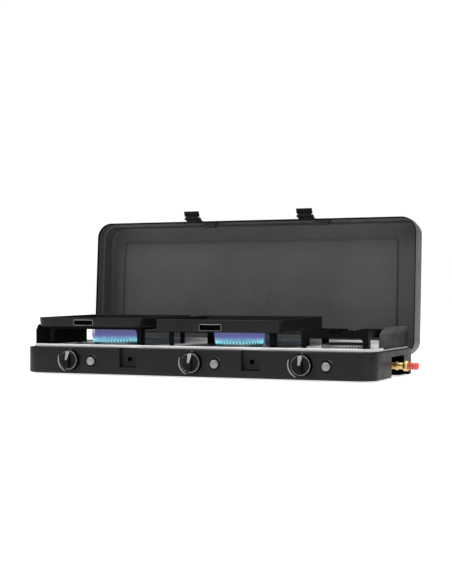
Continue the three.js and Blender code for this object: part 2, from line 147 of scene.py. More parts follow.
def loft(rings, caps=True, closed=False):
    """A skin through rings of equal length, capped at its ends or closed into a loop."""
    n = len(rings[0])
    verts = [v for one in rings for v in one]
    faces = []
    pairs = len(rings) if closed else len(rings) - 1
    for i in range(pairs):
        a, b = i * n, ((i + 1) % len(rings)) * n
        for k in range(n):
            m = (k + 1) % n
            faces.append((a + k, a + m, b + m, b + k))
    if caps and not closed:
        faces.append(tuple(range(n))[::-1])
        faces.append(tuple(range((len(rings) - 1) * n, len(rings) * n)))
    return Shape().add(verts, faces)


def inset_rings(rect, r, profile, n=10):
    """Rings for a profile of (inset, z) pairs around a rounded rectangle."""
    x0, x1, y0, y1 = rect
    return [ring((x0 + d, x1 - d, y0 + d, y1 - d), r - d, z, n) for d, z in profile]


def lathe(profile, n=64):
    """A solid turned about Z from (radius, height) pairs; ends on the axis close it."""
    verts, rows = [], []
    for r, h in profile:
        if r < 1e-6:
            rows.append([len(verts)])
            verts.append((0, 0, h))
            continue
        rows.append(list(range(len(verts), len(verts) + n)))
        verts += [(r * math.cos(2 * math.pi * k / n), r * math.sin(2 * math.pi * k / n), h) for k in range(n)]
    faces = []
    for a, b in zip(rows, rows[1:]):
        for k in range(n):
            m = (k + 1) % n
            face = dict.fromkeys((a[k % len(a)], a[m % len(a)], b[m % len(b)], b[k % len(b)]))
            if len(face) > 2:
                faces.append(tuple(face))
    return Shape().add(verts, faces)


def round_lathe(points, n=64, steps=4):
    return lathe(rounded(points, steps), n)


def along_y(x, z):
    """Turns a shape made about +Z so that its height runs towards +Y, at x and z."""
    return Matrix.Translation((x, 0, z)) @ Matrix.Rotation(-math.pi / 2, 4, "X")


def along_x(y, z):
    """Turns a shape made about +Z so that its height runs towards +X, at y and z."""
    return Matrix.Translation((0, y, z)) @ Matrix.Rotation(math.pi / 2, 4, "Y")


def from_bmesh(bm):
    bm.verts.ensure_lookup_table()
    verts = [v.co.copy() for v in bm.verts]
    faces = [[v.index for v in f.verts] for f in bm.faces]
    bm.free()
    return Shape().add(verts, faces)


def prism(outline, low, high, bevel=0.0, axis="y", segments=2):
    """An outline of (a, b) pairs pulled along an axis, with its rims bevelled.

    axis y takes (x, z) pairs, axis x takes (y, z) pairs and axis z takes (x, y) pairs.
    """
    place = {"y": lambda a, b, c: (a, c, b), "x": lambda a, b, c: (c, a, b), "z": lambda a, b,
             c: (a, b, c)}[axis]
    bm = bmesh.new()
    front = [bm.verts.new(place(a, b, low)) for a, b in outline]
    back = [bm.verts.new(place(a, b, high)) for a, b in outline]
    rims = [bm.faces.new(front), bm.faces.new(back[::-1])]
    n = len(outline)
    for k in range(n):
        m = (k + 1) % n
        bm.faces.new((front[m], front[k], back[k], back[m]))
    if bevel > 0:
        edges = list({e for f in rims for e in f.edges})
        bmesh.ops.bevel(bm, geom=edges, offset=bevel, segments=segments, profile=0.5, affect="EDGES")
    bmesh.ops.recalc_face_normals(bm, faces=bm.faces[:])
    bm.verts.index_update()
    return from_bmesh(bm)


def block(x0, x1, y0, y1, z0, z1, bevel=0.6, segments=2):
    """A block with every edge rounded."""
    bm = bmesh.new()
    bmesh.ops.create_cube(bm, size=1.0)
    for v in bm.verts:
        v.co = [low if c < 0 else high for c, low, high in zip(v.co, (x0, y0, z0), (x1, y1, z1))]
    if bevel > 0:
        bmesh.ops.bevel(bm, geom=bm.edges[:], offset=bevel, segments=segments, profile=0.5, affect="EDGES")
    bm.verts.index_update()
    return from_bmesh(bm)


def sweep(points, radius, sides=20, samples=8):
    """A round tube along a smooth curve through points."""
    path = []
    pts = [Vector(p) for p in points]
    for i in range(len(pts) - 1):
        p0, p1 = pts[max(i - 1, 0)], pts[i]
        p2, p3 = pts[i + 1], pts[min(i + 2, len(pts) - 1)]
        for k in range(samples):
            t = k / samples
            path.append(0.5 * (2 * p1 + (p2 - p0) * t + (2 * p0 - 5 * p1 + 4 * p2 - p3) * t * t
                               + (3 * p1 - p0 - 3 * p2 + p3) * t ** 3))
    path.append(pts[-1])
    rings, side = [], None
    for i, p in enumerate(path):
        ahead = (path[min(i + 1, len(path) - 1)] - path[max(i - 1, 0)]).normalized()
        side = ahead.orthogonal() if side is None else side - ahead * side.dot(ahead)
        side.normalize()
        up = ahead.cross(side)
        rings.append([
            tuple(p + radius * (math.cos(t) * side + math.sin(t) * up))
            for t in (2 * math.pi * k / sides for k in range(sides))
        ])
    return loft(rings)


def link(name, data):
    """A new object in the scene that shows a mesh, lamp or camera."""
    obj = bpy.data.objects.new(name, data)
    bpy.context.scene.collection.objects.link(obj)
    return obj


def build(name, shape, materials):
    mesh = bpy.data.meshes.new(name)
    mesh.from_pydata([tuple(v) for v in shape.verts], [], [tuple(f) for f in shape.faces])
    materials = materials if isinstance(materials, (list, tuple)) else [materials]
    for m in materials:
        mesh.materials.append(m)
    for polygon, slot in zip(mesh.polygons, shape.slots):
        polygon.material_index = slot
    clean(mesh)
    return link(name, mesh)


def clean(mesh):
    """Welds doubled points and turns every face outwards."""
    bm = bmesh.new()
    bm.from_mesh(mesh)
    bmesh.ops.remove_doubles(bm, verts=bm.verts[:], dist=1e-5)
    bmesh.ops.recalc_face_normals(bm, faces=bm.faces[:])
    bm.to_mesh(mesh)
    bm.free()
    finish_smooth(mesh, 35.0)


def boolean(obj, shape, operation="DIFFERENCE", joined=False):
    """Cuts or adds a shape; joined says that the piece is made of shells that overlap."""
    tool = build("tool", shape, obj.data.materials[0] if obj.data.materials else [])
    modifier = obj.modifiers.new("cut", "BOOLEAN")
    modifier.operation = operation
    modifier.object = tool
    modifier.solver = "EXACT"
    modifier.use_self = joined
    graph = bpy.context.evaluated_depsgraph_get()
    mesh = bpy.data.meshes.new_from_object(obj.evaluated_get(graph))
    obj.modifiers.clear()
    old, obj.data = obj.data, mesh
    bpy.data.meshes.remove(old)
    data = tool.data
    bpy.data.objects.remove(tool)
    bpy.data.meshes.remove(data)


def soften(obj, width, angle=40.0, segments=2):
    """Rounds the hard edges that cutting left, by a bevel modifier."""
    modifier = obj.modifiers.new("soft", "BEVEL")
    modifier.width = width
    modifier.segments = segments
    modifier.limit_method = "ANGLE"
    modifier.angle_limit = math.radians(angle)
    modifier.use_clamp_overlap = True


def settle(obj, body, replaces=(), swing=False, smooth=35.0):
    """Moves a piece from stove millimetres into the frame and hangs it on its body."""
    obj.data.transform(TO_FRAME @ SWING if swing else TO_FRAME)
    finish_smooth(obj.data, smooth)
    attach(obj, body)
    if replaces:
        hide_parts(*replaces)
    return obj


def finish_smooth(mesh, smooth):
    """Shades a mesh smooth except across edges sharper than an angle in degrees."""
    mesh.polygons.foreach_set("use_smooth", [True] * len(mesh.polygons))
    mesh.set_sharp_from_angle(angle=math.radians(smooth))
    mesh.update()


# ---- material helpers ----
class Look:
    """A Principled material with its node tree at hand."""

    def __init__(self, name, color, roughness, metallic=0.0, specular=0.5):
        self.mat = bpy.data.materials.new(name)
        self.mat.use_nodes = True
        self.nodes = self.mat.node_tree.nodes
        self.links = self.mat.node_tree.links
        self.bsdf = self.nodes["Principled BSDF"]
        values = {"Base Color": (*color, 1), "Roughness": roughness, "Metallic": metallic,
                  "Specular IOR Level": specular}
        for key, value in values.items():
            self.bsdf.inputs[key].default_value = value
        self.coords = self.nodes.new("ShaderNodeTexCoord").outputs["Object"]

    def node(self, kind, **inputs):
        n = self.nodes.new(kind)
        for key, value in inputs.items():
            n.inputs[key.replace("_", " ")].default_value = value
        return n

    def noise(self, scale, detail=4.0, roughness=0.55, stretch=None):
        n = self.node("ShaderNodeTexNoise", Scale=scale, Detail=detail, Roughness=roughness)
        source = self.coords
        if stretch:
            mapping = self.node("ShaderNodeMapping", Scale=stretch)
            self.links.new(source, mapping.inputs["Vector"])
            source = mapping.outputs["Vector"]
        self.links.new(source, n.inputs["Vector"])
        return n.outputs["Fac"]

    def speckle(self, scale, randomness=1.0):
        n = self.node("ShaderNodeTexVoronoi", Scale=scale, Randomness=randomness)
        self.links.new(self.coords, n.inputs["Vector"])
        return n

    def spread(self, value, low, high, start=0.0, end=1.0):
        n = self.node("ShaderNodeMapRange", From_Min=low, From_Max=high, To_Min=start, To_Max=end)
        self.links.new(value, n.inputs["Value"])
        return n.outputs["Result"]

    def blend(self, factor, first, second):
        n = self.nodes.new("ShaderNodeMix")
        n.data_type = "RGBA"
        for socket, value in ((n.inputs[6], first), (n.inputs[7], second)):
            if isinstance(value, tuple):
                socket.default_value = (*value, 1)
            else:
                self.links.new(value, socket)
        self.links.new(factor, n.inputs[0])
        return n.outputs[2]

    def maths(self, operation, a, b=None):
        n = self.nodes.new("ShaderNodeMath")
        n.operation = operation
        for socket, value in zip(n.inputs, (a, b)):
            if value is None:
                continue
            if isinstance(value, (int, float)):
                socket.default_value = value
            else:
                self.links.new(value, socket)
        return n.outputs["Value"]

    def edges(self, radius=0.0008):
        """1 along convex and concave edges, 0 on open faces."""
        bevel = self.nodes.new("ShaderNodeBevel")
        bevel.samples = 4
        bevel.inputs["Radius"].default_value = radius
        geometry = self.nodes.new("ShaderNodeNewGeometry")
        dot = self.nodes.new("ShaderNodeVectorMath")
        dot.operation = "DOT_PRODUCT"
        self.links.new(bevel.outputs["Normal"], dot.inputs[0])
        self.links.new(geometry.outputs["Normal"], dot.inputs[1])
        return self.spread(dot.outputs["Value"], 0.99, 0.9)

    def set_color(self, value):
        self.links.new(value, self.bsdf.inputs["Base Color"])

    def set_roughness(self, value):
        self.links.new(value, self.bsdf.inputs["Roughness"])

    def mottle(self, value, color, dark, light):
        """A color that wanders between two shades of itself with a noise."""
        return self.blend(self.spread(value, 0.3, 0.7), shade(color, dark), shade(color, light))

    def roughen(self, scale, detail, low, high):
        """Lets the roughness wander between two values."""
        self.set_roughness(self.spread(self.noise(scale, detail), 0.3, 0.7, low, high))

    def bump(self, *layers):
        """Stacks (height, strength, distance in metres) bumps."""
        normal = None
        for height, strength, distance in layers:
            n = self.node("ShaderNodeBump", Strength=strength, Distance=distance)
            self.links.new(height, n.inputs["Height"])
            if normal is not None:
                self.links.new(normal, n.inputs["Normal"])
            normal = n.outputs["Normal"]
        self.links.new(normal, self.bsdf.inputs["Normal"])


def shade(color, factor):
    return tuple(min(1.0, c * factor) for c in color)


def powder_coat(name, color, roughness=0.5, wear_and_highlight=0.35, specular=0.2):
    """Fine-textured powder coating, a little lighter along its edges: partly rubbed wear, partly a painted
    edge highlight.
    """
    look = Look(name, color, roughness, 0.0, specular)
    grain = look.noise(2600, 3)
    base = look.mottle(look.noise(9, 5, 0.6), color, 0.88, 1.14)
    fleck = look.spread(look.noise(1400, 2), 0.62, 0.75, 0, 0.35)
    base = look.blend(fleck, base, shade(color, 1.9))
    # The edge mask paints the edges lighter: partly wear, partly a painted highlight on convex and concave
    # edges.
    worn_and_lit_edges = look.maths("MULTIPLY", look.edges(), look.spread(look.noise(60, 4), 0.45, 0.7, 0, wear_and_highlight))
    look.set_color(look.blend(worn_and_lit_edges, base, shade(color, 4.0)))
    look.roughen(30, 5, roughness - 0.06, roughness + 0.08)
    look.bump((grain, 0.22, 0.0003), (look.noise(420, 3), 0.08, 0.0004))
    return look.mat


def cast_metal(name, color, roughness=0.55, specular=0.2):
    """Sand-cast surface under a matt coating."""
    look = Look(name, color, roughness, 0.0, specular)
    base = look.mottle(look.noise(22, 6, 0.65), color, 0.8, 1.3)
    pits = look.speckle(900)
    # The pits are painted darker as well as bumped: painted shade in the small hollows.
    base = look.blend(look.spread(pits.outputs["Distance"], 0.0, 0.18, 0.35, 0.0), base, shade(color, 0.4))
    # Edges painted lighter as in the powder coat: partly wear, partly a painted highlight.
    worn_and_lit_edges = look.maths("MULTIPLY", look.edges(0.001), look.spread(look.noise(90, 4), 0.4, 0.7, 0, 0.4))
    look.set_color(look.blend(worn_and_lit_edges, base, shade(color, 4.5)))
    look.roughen(70, 5, roughness - 0.08, roughness + 0.1)
    look.bump((look.noise(700, 5, 0.6), 0.3, 0.0005), (pits.outputs["Distance"], 0.12, 0.0003))
    return look.mat


def brushed(name, color, roughness, stretch, metallic=1.0, streak=0.10):
    """Metal with a fine brushed grain along one direction."""
    look = Look(name, color, roughness, metallic)
    lines = look.noise(60, 8, 0.7, stretch)
    base = look.mottle(lines, color, 1 - streak, 1 + streak)
    smudge = look.spread(look.noise(14, 5), 0.45, 0.75, 0, 0.25)
    look.set_color(look.blend(smudge, base, shade(color, 0.82)))
    rough = look.maths("ADD", look.spread(lines, 0.25, 0.75, roughness - 0.06, roughness + 0.1),
                       look.spread(look.noise(18, 4), 0.4, 0.8, 0.0, 0.08))
    look.set_roughness(rough)
    look.bsdf.inputs["Anisotropic"].default_value = 0.4
    look.bump((lines, 0.12, 0.0003))
    return look.mat


def machined(name, color, roughness, tarnish):
    """Turned brass or copper with soft tarnish."""
    look = Look(name, color, roughness, 1.0)
    stain = look.spread(look.noise(90, 6, 0.6), 0.42, 0.72, 0, 0.7)
    look.set_color(look.blend(stain, color, tarnish))
    look.roughen(160, 4, roughness - 0.06, roughness + 0.14)
    look.bump((look.noise(900, 3), 0.15, 0.0002))
    return look.mat


def plated(name, color):
    """Zinc plate with faint crystal patches."""
    look = Look(name, color, 0.4, 1.0)
    patches = look.speckle(160)
    tone = look.spread(patches.outputs["Distance"], 0.0, 0.6)
    look.set_color(look.blend(tone, shade(color, 0.8), shade(color, 1.15)))
    look.roughen(80, 4, 0.3, 0.5)
    look.bump((look.noise(600, 3), 0.12, 0.0003))
    return look.mat


def moulded(name, color, roughness=0.42, grain=0.2, specular=0.5):
    """Moulded plastic or rubber with a fine spark-eroded grain."""
    look = Look(name, color, roughness, 0.0, specular)
    look.set_color(look.mottle(look.noise(30, 4), color, 0.85, 1.25))
    look.roughen(120, 4, roughness - 0.06, roughness + 0.08)
    look.bump((look.noise(1800, 3), grain, 0.0003))
    return look.mat


def printed(name, color):
    look = Look(name, color, 0.5)
    look.set_color(look.blend(look.spread(look.noise(700, 3), 0.35, 0.65), shade(color, 0.86), color))
    look.bump((look.noise(1500, 2), 0.1, 0.0001))
    return look.mat


def tinted_cap(name):
    look = Look(name, (0.85, 0.09, 0.06), 0.28)
    look.set_color(look.blend(look.spread(look.noise(120, 4), 0.3, 0.7), (0.8, 0.06, 0.05), (0.9, 0.16, 0.1)))
    look.bsdf.inputs["Transmission Weight"].default_value = 0.45
    look.bsdf.inputs["Subsurface Weight"].default_value = 0.2
    look.roughen(200, 3, 0.22, 0.36)
    look.bump((look.noise(900, 3), 0.08, 0.0002))
    return look.mat


def flame_glow(name, low, high):
    """Blue gas flame: a cyan fringe at the ports that fades through blue into violet."""
    look = Look(name, (0, 0, 0), 0.5)
    nodes, links = look.nodes, look.links
    nodes.remove(look.bsdf)
    split = nodes.new("ShaderNodeSeparateXYZ")
    links.new(look.coords, split.inputs[0])
    wobble = look.maths("MULTIPLY", look.noise(260, 3, 0.5, (1, 1, 0.12)), 0.22)
    level = look.maths("ADD", wobble, look.spread(split.outputs["Z"], low, high))
    ramp = nodes.new("ShaderNodeValToRGB")
    links.new(level, ramp.inputs["Fac"])
    stops = ((0.08, (0.16, 0.58, 0.82)), (0.22, (0.36, 1.05, 1.20)), (0.42, (0.19, 0.33, 0.57)),
             (0.58, (0.13, 0.14, 0.36)), (0.85, (0.14, 0.14, 0.33)), (1.0, (0.17, 0.14, 0.28)))
    marks = ramp.color_ramp.elements
    for mark, (position, color) in zip(marks, (stops[0], stops[-1])):
        mark.position, mark.color = position, (*color, 1)
    for position, color in stops[1:-1]:
        marks.new(position).color = (*color, 1)
    glow = look.node("ShaderNodeEmission", Strength=1.0)
    links.new(ramp.outputs["Color"], glow.inputs["Color"])
    mix = nodes.new("ShaderNodeMixShader")
    links.new(look.spread(level, 0.55, 1.1, 0.72, 0.3), mix.inputs[0])
    links.new(nodes.new("ShaderNodeBsdfTransparent").outputs[0], mix.inputs[1])
    links.new(glow.outputs[0], mix.inputs[2])
    links.new(mix.outputs[0], nodes["Material Output"].inputs["Surface"])
    return look.mat


PAINT = powder_coat("base_powder_coat", (0.0058, 0.0059, 0.0063), 0.46, specular=0.17)
LID_PAINT = powder_coat("lid_powder_coat", (0.075, 0.0752, 0.0762), 0.55, 0.25)
SHIELD_PAINT = powder_coat("shield_powder_coat", (0.0085, 0.0086, 0.009), 0.5, specular=0.08)
IRON = cast_metal("stand_enamel", (0.002, 0.002, 0.0022), 0.5, 0.05)
COATING = cast_metal("griddle_coating", (0.0075, 0.0075, 0.0078), 0.4, 0.13)
DECK_STEEL = brushed("deck_stainless", (0.62, 0.62, 0.625), 0.42, (0.4, 12, 12), 0.25)
ALLOY = brushed("burner_alloy", (0.55, 0.55, 0.56), 0.38, (6, 6, 6), 1.0, 0.2)
# Lighter alloy colour for the grip-slot frames: a painted highlight on their bevelled edges.
SLOT_FRAME_HIGHLIGHT = brushed("slot_frame_painted_highlight", (0.20, 0.20, 0.205), 0.4, (6, 6, 6), 0.8, 0.15)
ZINC = plated("zinc_plate", (0.45, 0.46, 0.47))
BRASS = machined("turned_brass", (0.72, 0.52, 0.20), 0.26, (0.40, 0.27, 0.10))
COPPER = machined("copper_tube", (0.70, 0.33, 0.18), 0.3, (0.36, 0.17, 0.09))
PLASTIC = moulded("black_plastic", (0.0032, 0.0032, 0.0035), 0.42, 0.2, 0.14)
GREY = moulded("satin_grey_plastic", (0.17, 0.17, 0.175), 0.34, 0.08, 0.5)
POINTER = moulded("pointer_grey", (0.21, 0.21, 0.215), 0.4, 0.1)
# Lighter grey for the knob rims: a painted highlight on the dial's rim edge.
RIM_HIGHLIGHT_GREY = moulded("rim_painted_highlight", (0.22, 0.22, 0.225), 0.35, 0.1)
# Deep black for the igniter collars and knob seats, also used as painted shade in the grip slots and along
# the lid's edge.
DEEP_BLACK_AND_SHADE = moulded("deep_black_plastic_and_shade", (0.0018, 0.0018, 0.002), 0.6, 0.2, 0.0)
RUBBER = moulded("foot_rubber", (0.015, 0.015, 0.015), 0.75, 0.4)
SLEEVE = moulded("wire_sleeve", (0.03, 0.03, 0.032), 0.6)
CERAMIC = moulded("electrode_ceramic", (0.75, 0.72, 0.65), 0.25, 0.05)
PRINT = printed("white_print", (0.24, 0.24, 0.24))
RED = tinted_cap("red_cap_plastic")


# ---- base and deck ----
BASE_RECT = (-HALF, HALF, 0.0, DEPTH)


def cylinder(radius, low, high, matrix, n=48):
    return lathe([(0, low), (radius, low), (radius, high), (0, high)], n).moved(matrix)


def make_base():
    outer = rounded([(10, BOTTOM, 0), (0, BOTTOM, 3.0), (0, 50.5, 2.4), (10, 50.5, 0)], 6)
    base = build("base_shell", loft(inset_rings(BASE_RECT, 36, outer, 16)), PAINT)
    inner = [(1.8, BOTTOM + 1.8), (1.8, 48.7)]
    boolean(base, loft(inset_rings(BASE_RECT, 36, inner, 16)))
    mouth = (-HALF + 5, HALF - 5, 12, 279.5)
    boolean(base, loft([ring(mouth, 30, 47.5, 16), ring(mouth, 30, 52, 16)]))
    for side in (-1, 1):
        x = side * LATCH_X
        boolean(base, block(x - 20.8, x + 20.8, 1.0, 11.4, 10.2, 49.4, 0), "UNION")
        boolean(base, block(x - 19, x + 19, -4, 9.6, 12, 56, 1.2))
        boolean(base, cylinder(4.8, 5, 15, along_y(x, 28.5), 32))
        hinge = side * 240.0
        boolean(base, block(hinge - 11, hinge + 11, 277, 296, 35.5, 56, 0))
    for x in KNOB_X:
        boolean(base, cylinder(5, -3, 4, along_y(x, KNOB_Z), 32))
        boolean(base, cylinder(9.4, -3, 4, along_y(x + BUTTON_OFFSET, BUTTON_Z), 40))
    boolean(base, block(352, 382, 118, 207, -12, 38, 2))
    boolean(base, block(366, 382, 206, 246, -12, 15, 0))
    settle(base, "base", ["base_pan"], smooth=30)


def make_pocket_ledges():
    """The small shelf and stop rib moulded in each latch pocket."""
    for side, name in ((-1, "left"), (1, "right")):
        x = side * LATCH_X
        shape = block(x - 17.5, x + 17.5, 6.4, 9.7, 15.2, 18.4, 0.7)
        shape.join(block(x - 17.5, x + 17.5, 4.6, 9.7, 12.2, 14.2, 0.5))
        shape.join(round_lathe([(4.9, 9.4, 0), (4.9, 8.2, 0.3), (6.6, 8.2, 0.5), (6.6, 9.7, 0)],
                               40).moved(along_y(x, 28.5)))
        settle(build(f"latch_pocket_trim_{name}", shape, PAINT), "base")


def make_deck():
    rect = (-369.6, 369.6, 14.0, 278.0)
    profile = rounded([
        (16, 50.8, 0), (0, 50.8, 0.5), (0, 56.5, 1.9), (4.0, 56.5, 1.6), (4.6, 52.2, 1.2), (20, 52.2, 0),
    ], 5)
    deck = build("deck_pressing", loft(inset_rings(rect, 31, profile, 14)), DECK_STEEL)
    for x, y, r in BURNERS:
        bead = round_lathe([(r + 3, 51.5, 0), (r + 3.6, 53.6, 0.8), (r + 7, 53.6, 0.8), (r + 10, 51.5, 0),
                            (r + 3, 51.5, 0)], 72)
        boolean(deck, bead.moved(Matrix.Translation((x, y, 0))), "UNION")
        boolean(deck, cylinder(r - 7, 40, 60, Matrix.Translation((x, y, 0)), 72))
        boolean(deck, cylinder(4.2, 40, 60, Matrix.Translation((x + r + 9, y, 0)), 28))
    for _, side, y0, y1 in SHIELDS:
        x = side * SHIELD_X
        boolean(deck, block(x - 12, x + 12, y0 - 3, y1 + 1, 52.3, 62, 0))
        for y in (y0 + 30, y1 - 30):
            boolean(deck, block(x - 1.2, x + 1.2, y - 9, y + 9, 48, 56, 0))
    boolean(deck, block(-338.6, 338.6, 274.2, 278, 53, 63, 1.2, 3), "UNION")
    settle(deck, "base", ["deck_tray"], smooth=30)


def make_feet():
    spots = {"front_left": (-320, 64), "front_right": (320, 64), "rear_left": (-320, 256),
             "rear_right": (320, 256)}
    for name, (x, y) in spots.items():
        profile = [(0, 0.3, 0), (7.6, 0.3, 0.3), (8.2, 0, 0.2), (10.4, 0, 0.8), (11, 2.7, 0.3), (0, 2.7, 0)]
        settle(build(f"rubber_foot_{name}", round_lathe(profile,
                40).moved(Matrix.Translation((x, y, BOTTOM - 3))), RUBBER),
               "base", [f"foot_{name}"])


def arc_band(x, z, radius, start, end, thick, steps=26, y0=-0.14, y1=0.05):
    """A tapered printed arc on the front face; angles in degrees from +x, turning up."""
    outer, inner = [], []
    for k in range(steps + 1):
        t = k / steps
        a = math.radians(start + (end - start) * t)
        w = thick * (0.25 + 0.75 * math.sin(math.pi * (0.08 + 0.84 * t)))
        outer.append((x + (radius + w / 2) * math.cos(a), z + (radius + w / 2) * math.sin(a)))
        inner.append((x + (radius - w / 2) * math.cos(a), z + (radius - w / 2) * math.sin(a)))
    return prism(outer + inner[::-1], y0, y1)


def make_marks():
    for name, x in zip(SIDES, KNOB_X):
        shape = cylinder(1.5, -0.14, 0.05, along_y(x, 46.6), 24)
        shape.join(arc_band(x - 2.5, KNOB_Z + 1.5, 25.8, 160, 247, 2.6))
        faint = arc_band(x + BUTTON_OFFSET, BUTTON_Z, 13.2, 25, 75, 0.35)
        settle(build(f"igniter_mark_{name}", faint, POINTER), "base")
        settle(build(f"panel_marks_{name}", shape, PRINT), "base")


# ---- burners ----
def slotted_ring(radius, depth, width, z0, z1, count):
    """A ring of fins: teeth on the outside, a plain bore inside."""
    outer, inner = [], []
    for k in range(count):
        pitch = 2 * math.pi / count
        for t, r in ((0.0, radius), (0.62, radius), (0.66, radius - depth), (0.96, radius - depth)):
            a = (k + t) * pitch
            outer.append((r * math.cos(a), r * math.sin(a)))
            inner.append(((radius - width) * math.cos(a), (radius - width) * math.sin(a)))
    return band_ring(outer, inner, z0, z1)


def band_ring(outer, inner, z0, z1):
    """The solid between an outer and an inner outline, from one height to another."""
    rings = [[(x, y, z) for x, y in line] for line, z in ((outer, z0), (outer, z1), (inner, z1), (inner, z0))]
    return loft(rings, closed=True)


def make_burners():
    for name, (x, y, r) in zip(SIDES, BURNERS):
        at = Matrix.Translation((x, y, 0))
        body = round_lathe([
            (0, 24, 0), (20, 24, 2), (24, 34, 2), (r - 12, 44, 3), (r - 8, 49, 1.5), (r - 8, 53.6,
                    0.4), (r - 2, 53.6, 0.5),
            (r - 2, 56.5, 0.7), (r - 10.6, 56.5, 0.5), (r - 10.6, 50, 1), (18, 38, 2), (0, 38, 0),
        ], 72)
        settle(build(f"burner_cup_{name}", body.moved(at), ALLOY),
               "base", [f"burner_body_{name}"])
        crown = slotted_ring(r - 0.6, 3.4, 8.5, 56.9, 61.2, 44)
        crown_piece = build(f"burner_crown_{name}", crown.moved(at), ALLOY)
        soften(crown_piece, 0.25 * MM, 50, 1)
        settle(crown_piece, "base", smooth=40)
        cap = round_lathe([
            (0, 61.4, 0), (r - 0.4, 61.4, 0.3), (r - 0.2, 62.4, 0.4), (r - 2.4, 63.7, 1.0), (r - 12, 64.2, 2),
            (r - 16, 63.4, 2), (0, 63.2, 0),
        ], 72)
        settle(build(f"burner_lid_{name}", cap.moved(at), IRON), "base", [f"burner_cap_{name}"])
        pin = Matrix.Translation((x + r + 9, y, 0))
        rod = round_lathe([(0, 36, 0), (2.2, 36, 0.3), (3.6, 40, 0.8), (3.6, 55.6, 1.2), (1.8, 59.6, 0.5),
                           (0, 60, 0)], 32)
        rod.join(round_lathe([(0, 59.8, 0), (0.9, 59.8, 0.1), (0.9, 66, 0.4), (0, 66, 0)], 20), 1)
        settle(build(f"spark_pin_{name}", rod.moved(pin), [CERAMIC, ZINC]),
               "base", [f"electrode_{name}"])


def make_flames():
    """Burning gas on the two lit burners: a low crown of tongues leaning out and up."""
    glow = flame_glow("gas_flame", (57.5 + SHIFT.z) * MM, (89 + SHIFT.z) * MM)
    for name, (x, y, r) in zip(SIDES[:2], BURNERS[:2]):
        n, rows = 352, 12
        rings = []
        for j in range(rows + 1):
            t = j / rows
            one = []
            for k in range(n):
                a = 2 * math.pi * k / n
                tongue = 0.5 + 0.5 * math.cos(44 * a)
                drift = math.sin(5 * a + 1.3) * 0.5 + math.sin(9 * a + 0.4) * 0.5
                top = 86.0 + 1.2 * drift + 1.0 * tongue
                spread = r + 0.8 + 4.2 * math.sin(t * 2.2) + (0.9 * tongue - 0.4) * (1 - t)
                foot = 57.6 + 6.0 * (1 - tongue) ** 1.5
                z = foot + (top - foot) * t
                one.append((x + spread * math.cos(a), y + spread * math.sin(a), z))
            rings.append(one)
        settle(build(f"flame_{name}", loft(rings, False), glow), "base", smooth=180)


# ---- controls ----
def lean_back(shape):
    """Slopes the upper half of a knob's bar back towards the dial."""
    for v in shape.verts:
        rise = v.z - KNOB_Z - 1
        if rise > 0 and v.y < -12:
            v.y += rise * 0.38 * min(1.0, (-12 - v.y) / 6)
    return shape


def spindle_bore(x):
    """The D-shaped hole in the back of a knob that fits over its spindle."""
    radius, flat = 3.6, 2.1
    start = math.degrees(math.asin(flat / radius))
    angles = [math.radians(180 - start + (180 + 2 * start) * k / 24) for k in range(25)]
    return prism([(x + radius * math.cos(a), KNOB_Z + radius * math.sin(a)) for a in angles], -12, 1)


def make_knobs():
    for name, x in zip(SIDES, KNOB_X):
        dial = round_lathe([
            (0, 4.4, 0), (19.2, 4.4, 0.3), (19.8, 5.0, 0.3), (19.8, 6.2, 0.4), (18.8, 7.4, 0.6), (17.6,
                    11.8, 1.4),
            (16.0, 13.0, 0.6), (13, 12.5, 2), (0, 12.2, 0),
        ], 72).moved(Matrix.Scale(-1, 4, (0, 1, 0)) @ along_y(0, 0)).moved(Matrix.Translation((x, 0, KNOB_Z)))
        corners = [(-4, -17.2, 2), (4, -17.2, 2), (5.6, 0, 8), (5.8, 16.4, 2), (3, 18.8, 2), (-3, 18.8, 2),
                   (-5.8, 16.4, 2), (-5.6, 0, 8)]
        outline = closed_round(corners, 5)
        grip = lean_back(prism([(x + a, KNOB_Z + b) for a, b in outline], -19, -11, 1.2, segments=4))
        knob = build(f"control_knob_{name}", dial.join(grip), PLASTIC)
        boolean(knob, spindle_bore(x), joined=True)
        settle(knob, f"knob_{name}", [f"knob_{name}"])
        insert = closed_round([(-1.8, 0.5, 0.5), (2.6, 0.5, 0.5), (5.0, 16.0, 0.8), (3.2, 18.2, 1),
                               (-2.2, 18.2, 1), (-3.2, 16.0, 0.8)], 4)
        tip = lean_back(prism([(x + a, KNOB_Z + b) for a, b in insert], -19.3, -18.0, 0.25))
        settle(build(f"knob_pointer_{name}", tip, POINTER), f"knob_{name}")
        # A lighter grey ring round each dial: a painted highlight on the rim edge.
        trim = round_lathe([(18.0, 8.2, 0), (19.0, 8.0, 0.2), (18.9, 9.2, 0.3), (18.0, 9.4, 0.2),
                            (18.0, 8.2, 0)], 72)
        trim.moved(Matrix.Translation((x, 0, KNOB_Z)) @ FORWARD)
        settle(build(f"knob_rim_highlight_{name}", trim, RIM_HIGHLIGHT_GREY), f"knob_{name}")
        skirt = round_lathe([(8, 0.02, 0), (21.4, 0.02, 0.1), (21.4, 0.5, 0.2), (20.6, 0.8, 0.2),
                             (8, 0.4, 0), (8, 0.02, 0)], 72)
        skirt.moved(Matrix.Translation((x, 0, KNOB_Z)) @ FORWARD)
        settle(build(f"knob_seat_{name}", skirt, DEEP_BLACK_AND_SHADE), "base")
        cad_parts[f"tap_spindle_{name}"].data.materials[0] = ZINC


